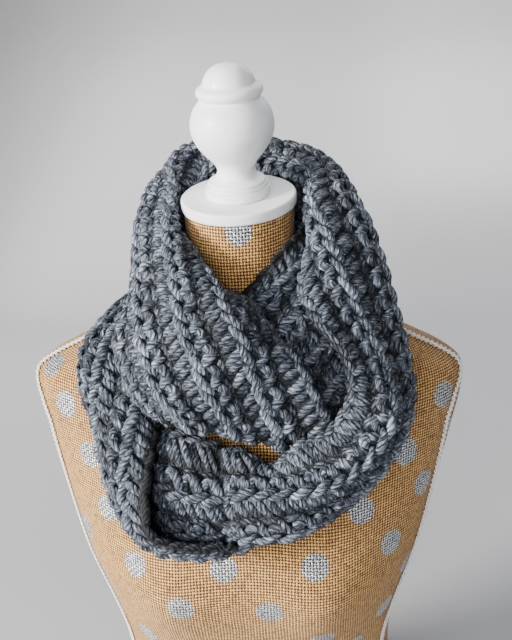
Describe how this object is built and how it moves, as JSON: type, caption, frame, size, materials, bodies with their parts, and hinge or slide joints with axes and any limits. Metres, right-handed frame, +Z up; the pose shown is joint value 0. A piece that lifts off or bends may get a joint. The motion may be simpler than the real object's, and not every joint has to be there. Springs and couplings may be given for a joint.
{
  "type": "infinity scarf on limbless dress form",
  "caption": "Chunky grey crochet infinity scarf wound twice round the neck of a burlap dress form with silver dots, side braid, neck cap and turned finial.",
  "frame": {"origin": "centre of the torso's flat base, where the form stands", "axes": "+Z up, the form's front faces -Y, +X is the form's own left side"},
  "size_m": [0.4084, 0.3021, 0.8164],
  "materials": {
    "yarn": "matt heathered chunky yarn in crochet ribbing",
    "burlap": "plain burlap weave with printed silver dots",
    "braid": "looped cotton gimp braid",
    "painted_wood": "white satin paint on turned wood"
  },
  "bodies": {
    "root": {"scarf_back_high": "yarn", "scarf_upper_left": "yarn", "scarf_inner_right": "yarn", "scarf_back_low": "yarn", "scarf_left_outer": "yarn", "scarf_front_low": "yarn", "scarf_right_front": "yarn", "form_torso": "burlap", "side_braid_left": "braid", "side_braid_right": "braid", "neck_cap": "painted_wood", "finial": "painted_wood"}
  },
  "joints": []
}
